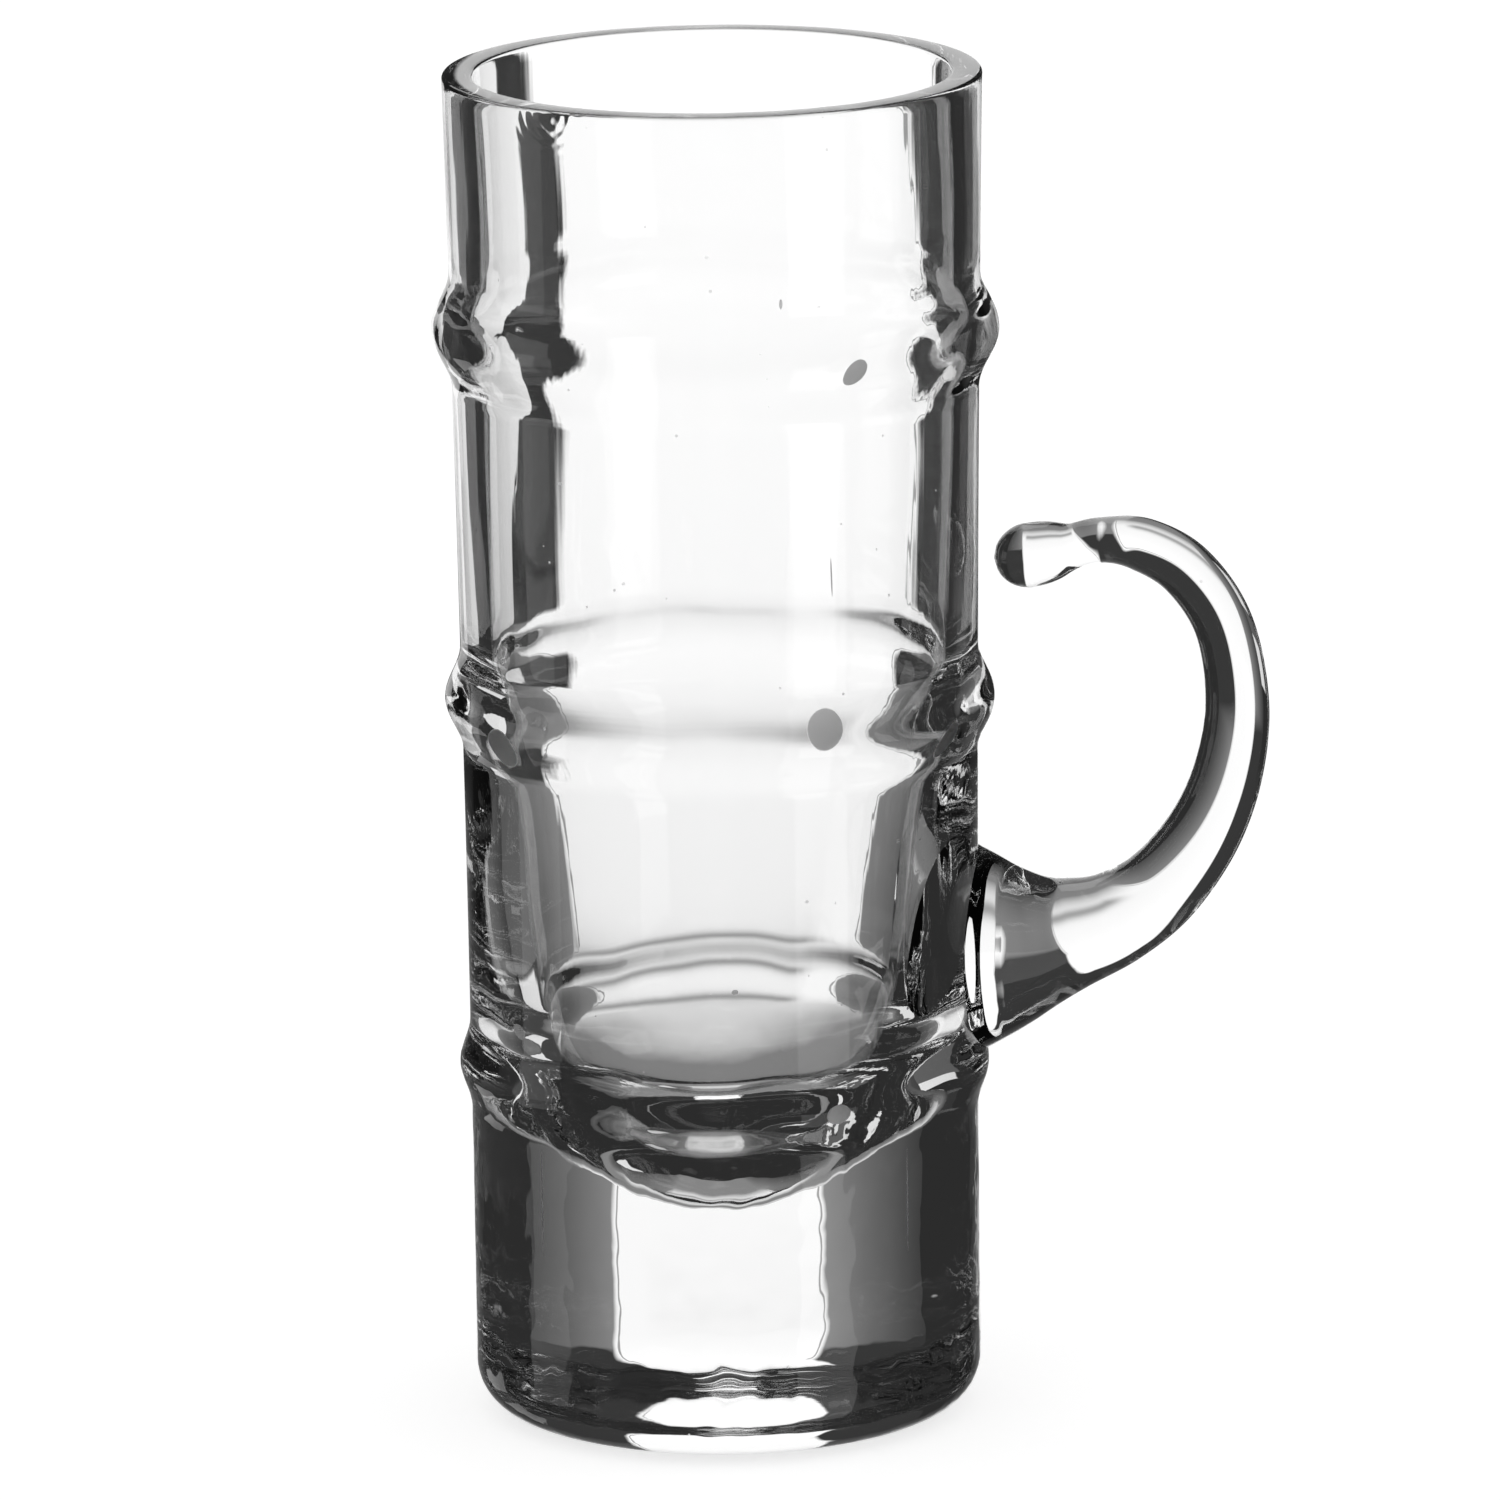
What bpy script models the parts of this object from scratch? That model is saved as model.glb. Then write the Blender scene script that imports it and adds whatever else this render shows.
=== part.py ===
"""A tall handled juice glass: a blown body with three bamboo-like rings and a hook handle put on hot.

Metres, +Z up. The flat of the foot lies on Z = 0, the body stands on the Z axis and the handle points to +X.
"""
import math

import bmesh
import bpy

# Body
HEIGHT = 0.160
RIM_RADIUS = 0.0315
FOOT_RADIUS = 0.0299
FOOT_EDGE = 0.0056  # round of the foot's edge
WALL = 0.0036  # even from the rim down to the height below
EVEN_WALL_BOTTOM = 0.092
RIM_ROUND = 0.0008  # round of the rim's two edges
BASE_THICKNESS = 0.026  # solid glass under the middle of the hollow
CAVITY_FOOT_RADIUS = 0.0207  # the hollow's radius where its round floor begins
CAVITY_FLOOR_RISE = 0.020  # height of that round floor

# Rings round the body, from the top one down
RIM_TO_RING = 0.0303  # from the rim down to the top ring's middle
RING_SPACING = 0.0440
RING_PROUD = (0.0023, 0.00195, 0.00125)
RING_HALF_HEIGHT = (0.0069, 0.0062, 0.0054)
RING_HOLLOW = (0.95, 0.4, 0.1)  # share of each ring's swell that the hollow follows

# Handle: a foot pad on the wall, a low and a high bend that meet at the outermost point, and a tip
PAD_ABOVE_RING = 0.0131  # the pad's middle, above the lowest ring's middle
PAD_RADIUS = 0.0122
PAD_FLARE_LENGTH = 0.016
PAD_FLARE_CURVE = 1.5
PAD_DROP = 0.0008  # the pad's middle, below the start of the low bend
HANDLE_REACH = 0.0304  # from the wall to the rod's middle at the outermost point
LOW_BEND_WIDTH = 0.0217
LOW_BEND_HEIGHT = 0.0285
HIGH_BEND_WIDTH = 0.0137
HIGH_BEND_HEIGHT = 0.0191
LOW_ROD_RADIUS = 0.0056
SIDE_ROD_RADIUS = 0.0039
TOP_ROD_RADIUS = 0.0033
NECK_RADIUS = 0.0027
TIP_RADIUS = 0.0040
TIP_GAP = 0.0020  # air between the tip and the wall
TIP_DROOP = 0.0014  # how far the tip hangs below the top of the rod's line

# The weld between handle and body is drawn as a hairline gap
WELD_CLEARANCE = 0.0003

GLASS_IOR = 1.5

# How finely the round forms are divided
BODY_STEPS = 48
RING_POINTS_EACH_SIDE = 3
FLOOR_POINTS = 8
FOOT_EDGE_POINTS = 5
RIM_ROUND_POINTS = 3
PAD_POINTS = 5
BEND_POINTS = 9
ROD_BEVEL_RESOLUTION = 6
TIP_SEGMENTS = 20
TIP_RINGS = 12
MERGE_DISTANCE = 0.00001


def ring_heights():
    """Heights of the rings' middles, from the top ring down."""
    return [HEIGHT - RIM_TO_RING - i * RING_SPACING for i in range(len(RING_PROUD))]


def ring_swell(z, prouds):
    """How far the rings swell at height z, given how far each one swells at its middle."""
    swell = 0.0
    for middle, proud, half in zip(ring_heights(), prouds, RING_HALF_HEIGHT):
        u = (z - middle) / half
        if abs(u) < 1:
            swell += proud * (0.5 + 0.5 * math.cos(math.pi * u))
    return swell


def plain_radius(z):
    """Outer radius of the wall without its rings: nearly straight below, opening towards the rim."""
    return FOOT_RADIUS + (RIM_RADIUS - FOOT_RADIUS) * (z / HEIGHT) ** 2


def outer_radius(z):
    return plain_radius(z) + ring_swell(z, RING_PROUD)


def cavity_radius(z):
    """Radius of the hollow above its round floor: even walls above, a taper below, and the rings in part."""
    plain = plain_radius(max(z, EVEN_WALL_BOTTOM)) - WALL
    if z < EVEN_WALL_BOTTOM:
        floor_top = BASE_THICKNESS + CAVITY_FLOOR_RISE
        share = (z - floor_top) / (EVEN_WALL_BOTTOM - floor_top)
        plain = CAVITY_FOOT_RADIUS + (plain - CAVITY_FOOT_RADIUS) * share
    return plain + ring_swell(z, [proud * share for proud, share in zip(RING_PROUD, RING_HOLLOW)])


def wall_heights(low, high, *bends):
    """Heights for a wall's points: its two ends, its bends and a few across each ring that lies between."""
    heights = {low, high, *bends}
    for middle, half in zip(ring_heights(), RING_HALF_HEIGHT):
        for i in range(-RING_POINTS_EACH_SIDE, RING_POINTS_EACH_SIDE + 1):
            z = middle + half * i / RING_POINTS_EACH_SIDE
            if low < z < high:
                heights.add(z)
    return sorted(heights)


def arc(middle_x, middle_z, half_x, half_z, first, last, count):
    """Points on an ellipse about a middle point, from one angle in degrees to another."""
    points = []
    for i in range(count + 1):
        angle = math.radians(first + (last - first) * i / count)
        points.append((middle_x + half_x * math.cos(angle), middle_z + half_z * math.sin(angle)))
    return points


def body_outline():
    """Half section of the body: hollow's floor, up the inside, over the rim and down the outside."""
    floor_top = BASE_THICKNESS + CAVITY_FLOOR_RISE
    floor_radius = cavity_radius(floor_top)
    outline = arc(0, floor_top, floor_radius, CAVITY_FLOOR_RISE, -90, 0, FLOOR_POINTS)
    rim_low = HEIGHT - RIM_ROUND
    inside_heights = wall_heights(floor_top, rim_low, EVEN_WALL_BOTTOM)
    outline += [(cavity_radius(z), z) for z in inside_heights[1:]]
    rim_inside = cavity_radius(rim_low) + RIM_ROUND
    rim_outside = outer_radius(rim_low) - RIM_ROUND
    outline += arc(rim_inside, rim_low, RIM_ROUND, RIM_ROUND, 180, 90, RIM_ROUND_POINTS)[1:]
    outline += arc(rim_outside, rim_low, RIM_ROUND, RIM_ROUND, 90, 0, RIM_ROUND_POINTS)
    outline += [(outer_radius(z), z) for z in reversed(wall_heights(FOOT_EDGE, rim_low)[:-1])]
    edge_middle = outer_radius(FOOT_EDGE) - FOOT_EDGE
    outline += arc(edge_middle, FOOT_EDGE, FOOT_EDGE, FOOT_EDGE, 0, -90, FOOT_EDGE_POINTS)[1:]
    outline.append((0, 0))
    return outline


def clearance_outline():
    """Half section of a solid that is the body's outside grown by the weld's hairline gap."""
    top = HEIGHT + FOOT_EDGE
    outline = [(0, top), (outer_radius(HEIGHT) + WELD_CLEARANCE, top)]
    for z in reversed(wall_heights(0, HEIGHT)):
        outline.append((outer_radius(z) + WELD_CLEARANCE, z))
    outline.append((outer_radius(0) + WELD_CLEARANCE, -FOOT_EDGE))
    outline.append((0, -FOOT_EDGE))
    return outline


def turned(name, outline, collection):
    """An object turned from a half section about the Z axis."""
    mesh = bpy.data.meshes.new(name)
    edges = [(i, i + 1) for i in range(len(outline) - 1)]
    mesh.from_pydata([(x, 0, z) for x, z in outline], edges, [])
    turned_object = bpy.data.objects.new(name, mesh)
    collection.objects.link(turned_object)
    screw = turned_object.modifiers.new("Turn", "SCREW")
    screw.steps = BODY_STEPS
    screw.render_steps = BODY_STEPS
    screw.use_merge_vertices = True
    screw.merge_threshold = MERGE_DISTANCE
    screw.use_smooth_shade = True
    return turned_object


def handle_places():
    """Where the handle's bends and tip lie: heights, and distances from the body's axis."""
    pad_z = ring_heights()[-1] + PAD_ABOVE_RING
    side_z = pad_z + PAD_DROP + LOW_BEND_HEIGHT
    top_z = side_z + HIGH_BEND_HEIGHT
    tip_z = top_z - TIP_DROOP
    wall_x = plain_radius(pad_z)
    side_x = wall_x + HANDLE_REACH
    tip_x = outer_radius(tip_z) + TIP_GAP + TIP_RADIUS
    return pad_z, side_z, top_z, tip_z, wall_x, side_x, tip_x


def spread(x, wall_x, radius):
    """The rod's radius near the body, where the glass spreads out into the foot pad."""
    out = min(max((x - wall_x) / PAD_FLARE_LENGTH, 0), 1)
    return radius + (PAD_RADIUS - LOW_ROD_RADIUS) * (1 - out) ** PAD_FLARE_CURVE


def handle_path():
    """Points (x, z, radius) along the handle: foot pad, low bend, outermost point, high bend and neck."""
    pad_z, side_z, top_z, tip_z, wall_x, side_x, tip_x = handle_places()
    low_x = side_x - LOW_BEND_WIDTH
    high_x = side_x - HIGH_BEND_WIDTH
    neck_x = tip_x + TIP_RADIUS

    path = [(wall_x - PAD_RADIUS / 2, pad_z, PAD_RADIUS)]
    for i in range(PAD_POINTS):
        share = i / PAD_POINTS
        x = wall_x + (low_x - wall_x) * share
        path.append((x, pad_z + PAD_DROP * share, spread(x, wall_x, LOW_ROD_RADIUS)))
    low_bend = arc(low_x, side_z, LOW_BEND_WIDTH, LOW_BEND_HEIGHT, -90, 0, BEND_POINTS)
    for i, (x, z) in enumerate(low_bend):
        radius = LOW_ROD_RADIUS + (SIDE_ROD_RADIUS - LOW_ROD_RADIUS) * i / BEND_POINTS
        path.append((x, z, spread(x, wall_x, radius)))
    high_bend = arc(high_x, side_z, HIGH_BEND_WIDTH, HIGH_BEND_HEIGHT, 0, 90, BEND_POINTS)
    for i, (x, z) in enumerate(high_bend[1:], 1):
        radius = SIDE_ROD_RADIUS + (TOP_ROD_RADIUS - SIDE_ROD_RADIUS) * i / BEND_POINTS
        path.append((x, z, radius))
    path.append(((high_x + neck_x) / 2, top_z, (TOP_ROD_RADIUS + NECK_RADIUS) / 2))
    path.append((neck_x, (top_z + tip_z) / 2, NECK_RADIUS))
    path.append((tip_x, tip_z, NECK_RADIUS))
    return path


def handle_rod(name, collection):
    """The handle's rod as a welded mesh, made from a curve whose radius changes along it."""
    path = handle_path()
    curve = bpy.data.curves.new(name, "CURVE")
    curve.dimensions = "3D"
    curve.bevel_depth = 1.0
    curve.bevel_resolution = ROD_BEVEL_RESOLUTION
    curve.use_fill_caps = True
    spline = curve.splines.new("POLY")
    spline.points.add(len(path) - 1)
    for point, (x, z, radius) in zip(spline.points, path):
        point.co = (x, 0, z, 1)
        point.radius = radius
    curve_object = bpy.data.objects.new(name + "_curve", curve)
    collection.objects.link(curve_object)

    bpy.context.view_layer.update()
    evaluated = curve_object.evaluated_get(bpy.context.evaluated_depsgraph_get())
    mesh = bpy.data.meshes.new_from_object(evaluated)
    mesh.name = name
    welded = bmesh.new()
    welded.from_mesh(mesh)
    bmesh.ops.remove_doubles(welded, verts=welded.verts, dist=MERGE_DISTANCE)
    bmesh.ops.recalc_face_normals(welded, faces=welded.faces)
    welded.to_mesh(mesh)
    welded.free()
    rod = bpy.data.objects.new(name, mesh)
    rod.matrix_world = curve_object.matrix_world
    collection.objects.link(rod)
    bpy.data.objects.remove(curve_object)
    mesh.shade_smooth()
    return rod


def tip_ball(name, collection):
    """The round drop of glass at the handle's free end."""
    _, _, _, tip_z, _, _, tip_x = handle_places()
    ball = bmesh.new()
    bmesh.ops.create_uvsphere(ball, u_segments=TIP_SEGMENTS, v_segments=TIP_RINGS, radius=TIP_RADIUS)
    mesh = bpy.data.meshes.new(name)
    ball.to_mesh(mesh)
    ball.free()
    ball_object = bpy.data.objects.new(name, mesh)
    ball_object.location = (tip_x, 0, tip_z)
    collection.objects.link(ball_object)
    return ball_object


def boolean(piece, operation, tool):
    change = piece.modifiers.new(operation.title(), "BOOLEAN")
    change.operation = operation
    change.solver = "EXACT"
    change.object = tool


def clear_glass(name, tint):
    """Clear glass with a faint tint."""
    material = bpy.data.materials.new(name)
    material.use_nodes = True
    shader = material.node_tree.nodes["Principled BSDF"]
    shader.inputs["Base Color"].default_value = (*tint, 1)
    shader.inputs["Roughness"].default_value = 0.02
    shader.inputs["Metallic"].default_value = 0
    shader.inputs["IOR"].default_value = GLASS_IOR
    shader.inputs["Transmission Weight"].default_value = 1
    return material


def new_collection(name):
    collection = bpy.data.collections.new(name)
    bpy.context.scene.collection.children.link(collection)
    return collection


for old in list(bpy.data.objects):
    bpy.data.objects.remove(old)

glass_pieces = new_collection("handled_juice_glass")
cutters = new_collection("cutters")

glass_body = turned("glass_body", body_outline(), glass_pieces)
glass_body.data.materials.append(clear_glass("body_glass", (0.95, 0.96, 0.96)))

applied_handle = handle_rod("applied_handle", glass_pieces)
applied_handle.data.materials.append(clear_glass("handle_glass", (0.96, 0.97, 0.97)))
boolean(applied_handle, "UNION", tip_ball("handle_tip_ball", cutters))
boolean(applied_handle, "DIFFERENCE", turned("body_clearance", clearance_outline(), cutters))

for cutter in cutters.objects:
    cutter.hide_render = True
    cutter.display_type = "WIRE"
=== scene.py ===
import math

import bpy
from mathutils import Matrix, Vector


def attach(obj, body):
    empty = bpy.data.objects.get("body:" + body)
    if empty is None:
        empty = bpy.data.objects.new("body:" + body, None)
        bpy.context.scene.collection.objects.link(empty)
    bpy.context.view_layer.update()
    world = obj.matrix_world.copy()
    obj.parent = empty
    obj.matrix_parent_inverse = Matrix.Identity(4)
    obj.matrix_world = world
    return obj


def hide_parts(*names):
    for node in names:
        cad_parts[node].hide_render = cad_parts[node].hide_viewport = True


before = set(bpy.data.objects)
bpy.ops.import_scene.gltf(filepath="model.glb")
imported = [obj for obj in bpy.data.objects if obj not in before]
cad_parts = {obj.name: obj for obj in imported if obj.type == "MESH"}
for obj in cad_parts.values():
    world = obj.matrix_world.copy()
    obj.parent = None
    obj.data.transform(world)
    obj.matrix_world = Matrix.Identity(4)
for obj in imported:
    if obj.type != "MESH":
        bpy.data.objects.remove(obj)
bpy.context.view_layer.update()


# Cup: the drinking vessel, one heavy gather of clear soda glass blown in a mould with three ring
# swellings. The rim and the foot are ground flat and polished by fire, and the inside, which no mould
# touched, is left wavy and stands a little off the middle.
CUP_HEIGHT = 0.160
RIM_RADIUS = 0.0315
FOOT_RADIUS = 0.0299
FOOT_EDGE = 0.0056
RIM_ROUND = 0.0005
RING_HEIGHTS = (0.1297, 0.0857, 0.0417)
RING_PROUD = (0.0023, 0.00195, 0.00125)
RING_HALF_HEIGHTS = (0.0069, 0.0062, 0.0054)
RING_HOLLOW = (0.85, 0.26, 0.1)
RING_HOLLOW_REACH = (0.97, 0.75, 0.85)
WALL = 0.0036
EVEN_WALL_BOTTOM = 0.092
BASE_THICKNESS = 0.026
BOWL_RISE = 0.020
BOWL_RADIUS = 0.0207
BOWL_HALFWAY_SHARE = 0.75
TAPER_BULGE = 0.0005
CUP_STEPS = 256
FLOOR_ROWS = 31
LIP_ROWS = 5
EDGE_ROWS = 12
FOOT_ROWS = 6
RING_ROW_STEP = 0.00065
PLAIN_ROW_STEP = 0.0018
LEAST_STEP = 0.0001
RING_ROWS_REACH = 1.25
FLOOR_SHARE = 0.6


def ring_swell(height, shares=(1.0, 1.0, 1.0), reaches=(1.0, 1.0, 1.0)):
    swell = 0.0
    rings = zip(RING_HEIGHTS, RING_PROUD, RING_HALF_HEIGHTS, shares, reaches)
    for middle, proud, half, share, reach in rings:
        along = (height - middle) / (half * reach)
        if abs(along) < 1.0:
            swell += share * proud * (0.5 + 0.5 * math.cos(math.pi * along))
    return swell


def plain_radius(height):
    return FOOT_RADIUS + (RIM_RADIUS - FOOT_RADIUS) * (max(height, 0.0) / CUP_HEIGHT) ** 2


def outside_radius(height):
    return plain_radius(height) + ring_swell(height)


def smooth_run(stations, place):
    """A value read at a place from (place, value) stations, on a curve that never overshoots them."""
    places = [station[0] for station in stations]
    values = [station[1] for station in stations]
    runs = [after - before for before, after in zip(places, places[1:])]
    rises = [(after - before) / run for before, after, run in zip(values, values[1:], runs)]
    slopes = [rises[0]]
    for i in range(1, len(runs)):
        if rises[i - 1] * rises[i] <= 0.0:
            slopes.append(0.0)
            continue
        ahead = 2.0 * runs[i] + runs[i - 1]
        behind = runs[i] + 2.0 * runs[i - 1]
        slopes.append((ahead + behind) / (ahead / rises[i - 1] + behind / rises[i]))
    slopes.append(rises[-1])
    i = max(j for j in range(len(runs)) if j == 0 or place >= places[j])
    t = (place - places[i]) / runs[i]
    return ((1 + 2 * t) * (1 - t) ** 2 * values[i] + t * (1 - t) ** 2 * runs[i] * slopes[i]
            + t * t * (3 - 2 * t) * values[i + 1] + t * t * (t - 1) * runs[i] * slopes[i + 1])


def inside_radius(height):
    """The hollow's radius: a bowl with a round floor, a taper above it, and an even wall up to the rim."""
    bowl_top = BASE_THICKNESS + BOWL_RISE
    even_radius = plain_radius(EVEN_WALL_BOTTOM) - WALL
    taper_radius = (BOWL_RADIUS + even_radius) / 2 + TAPER_BULGE
    stations = [
        (BASE_THICKNESS, 0.0),
        (BASE_THICKNESS + BOWL_RISE / 2, BOWL_RADIUS * BOWL_HALFWAY_SHARE),
        (bowl_top, BOWL_RADIUS),
        ((bowl_top + EVEN_WALL_BOTTOM) / 2, taper_radius),
        (EVEN_WALL_BOTTOM, even_radius),
        (CUP_HEIGHT, RIM_RADIUS - WALL),
    ]
    square = smooth_run([(station, radius ** 2) for station, radius in stations], height)
    return math.sqrt(max(square, 0.0)) + ring_swell(height, RING_HOLLOW, RING_HOLLOW_REACH)


def wall_heights(low, high):
    """Heights up a wall, close together on the rings and wider apart between them."""
    heights = [low]
    while heights[-1] < high - LEAST_STEP:
        rings = zip(RING_HEIGHTS, RING_HALF_HEIGHTS)
        near = min(abs(heights[-1] - middle) / half for middle, half in rings)
        step = RING_ROW_STEP if near < RING_ROWS_REACH else PLAIN_ROW_STEP
        heights.append(min(heights[-1] + step, high))
    return heights


def half_section():
    """The cup's half section as (radius, height), from the middle of the bowl over the rim to the foot."""
    points = []
    floor_top = BASE_THICKNESS + FLOOR_SHARE * BOWL_RISE
    wall_top = CUP_HEIGHT - RIM_ROUND
    for i in range(FLOOR_ROWS + 1):
        height = BASE_THICKNESS + (floor_top - BASE_THICKNESS) * (i / FLOOR_ROWS) ** 2
        points.append((inside_radius(height) if i else 0.0, height))
    for height in wall_heights(floor_top, wall_top)[1:]:
        points.append((inside_radius(height), height))
    lip_inside = inside_radius(wall_top) + RIM_ROUND
    lip_outside = outside_radius(wall_top) - RIM_ROUND
    for i in range(1, LIP_ROWS + 1):
        turn = math.pi * (1.0 - 0.5 * i / LIP_ROWS)
        points.append((lip_inside + RIM_ROUND * math.cos(turn), wall_top + RIM_ROUND * math.sin(turn)))
    for i in range(LIP_ROWS + 1):
        turn = math.pi / 2 * (1.0 - i / LIP_ROWS)
        points.append((lip_outside + RIM_ROUND * math.cos(turn), wall_top + RIM_ROUND * math.sin(turn)))
    for height in reversed(wall_heights(FOOT_EDGE, wall_top)[:-1]):
        points.append((outside_radius(height), height))
    edge_middle = outside_radius(FOOT_EDGE) - FOOT_EDGE
    for i in range(1, EDGE_ROWS + 1):
        turn = -math.pi / 2 * i / EDGE_ROWS
        points.append((edge_middle + FOOT_EDGE * math.cos(turn), FOOT_EDGE + FOOT_EDGE * math.sin(turn)))
    for i in range(1, FOOT_ROWS + 1):
        points.append((edge_middle * (1.0 - i / FOOT_ROWS), 0.0))
    return points


def feed(tree, socket, value):
    """Links a socket to another one, or sets it to a plain value."""
    if isinstance(value, bpy.types.NodeSocket):
        tree.links.new(value, socket)
    else:
        socket.default_value = value


def calc(tree, operation, first, second=None, third=None):
    """The result of one Math node."""
    step = tree.nodes.new("ShaderNodeMath")
    step.operation = operation
    for socket, value in zip(step.inputs, (first, second, third)):
        if value is not None:
            feed(tree, socket, value)
    return step.outputs[0]


def put(tree, kind, inputs=None, **settings):
    """One node, with its settings and what goes into its sockets."""
    made = tree.nodes.new(kind)
    for name, value in settings.items():
        setattr(made, name, value)
    for name, value in (inputs or {}).items():
        feed(tree, made.inputs[name], value)
    return made


def ease(tree, value, low, high, start=0.0, end=1.0):
    """A value that goes softly from start to end while another goes from low to high."""
    step = put(tree, "ShaderNodeMapRange",
               {"Value": value, "From Min": low, "From Max": high, "To Min": start, "To Max": end},
               interpolation_type="SMOOTHSTEP")
    return step.outputs[0]


def position(tree):
    return tree.nodes.new("GeometryNodeInputPosition").outputs[0]


def new_tree(name, sizes):
    """A geometry node tree with a geometry in and out, and one named input for each size."""
    tree = bpy.data.node_groups.new(name, "GeometryNodeTree")
    tree.interface.new_socket(name="Geometry", in_out="INPUT", socket_type="NodeSocketGeometry")
    for size_name, kind in sizes:
        tree.interface.new_socket(name=size_name, in_out="INPUT", socket_type=kind)
    tree.interface.new_socket(name="Geometry", in_out="OUTPUT", socket_type="NodeSocketGeometry")
    return tree


def finish_tree(tree, geometry, glass):
    """Ends a tree with smooth shading, real geometry and the glass."""
    smooth = put(tree, "GeometryNodeSetShadeSmooth", {"Geometry": geometry})
    real = put(tree, "GeometryNodeRealizeInstances", {"Geometry": smooth.outputs["Geometry"]})
    clad = put(tree, "GeometryNodeSetMaterial", {"Geometry": real.outputs["Geometry"], "Material": glass})
    put(tree, "NodeGroupOutput", {"Geometry": clad.outputs["Geometry"]})


def worked_mesh(source, tree, sizes):
    """The plain mesh that a tree makes of an object, with the tree's inputs set by identifier."""
    modifier = source.modifiers.new("work", "NODES")
    modifier.node_group = tree
    for item in tree.interface.items_tree:
        if item.item_type == "SOCKET" and item.in_out == "INPUT" and item.name in sizes:
            modifier[item.identifier] = sizes[item.name]
    depsgraph = bpy.context.evaluated_depsgraph_get()
    mesh = bpy.data.meshes.new_from_object(source.evaluated_get(depsgraph))
    source.modifiers.remove(modifier)
    return mesh


STEADY_RIM = 0.022
SHIFT_ENDS_BELOW_RIM = 0.002
WANDER_ENDS_BELOW_RIM = 0.010
WANDER_GROWS_OVER = 0.014
WELD_DISTANCE = 1e-6
SWIRL_STRETCH = (1.0, 1.0, 0.55)
SWIRL_SCALE = 75.0
SWIRL_DETAIL = 1.5
WANDER_STRETCH = (1.0, 1.0, 0.1)
WANDER_SCALE = 65.0
WANDER_DETAIL = 1.0


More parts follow.
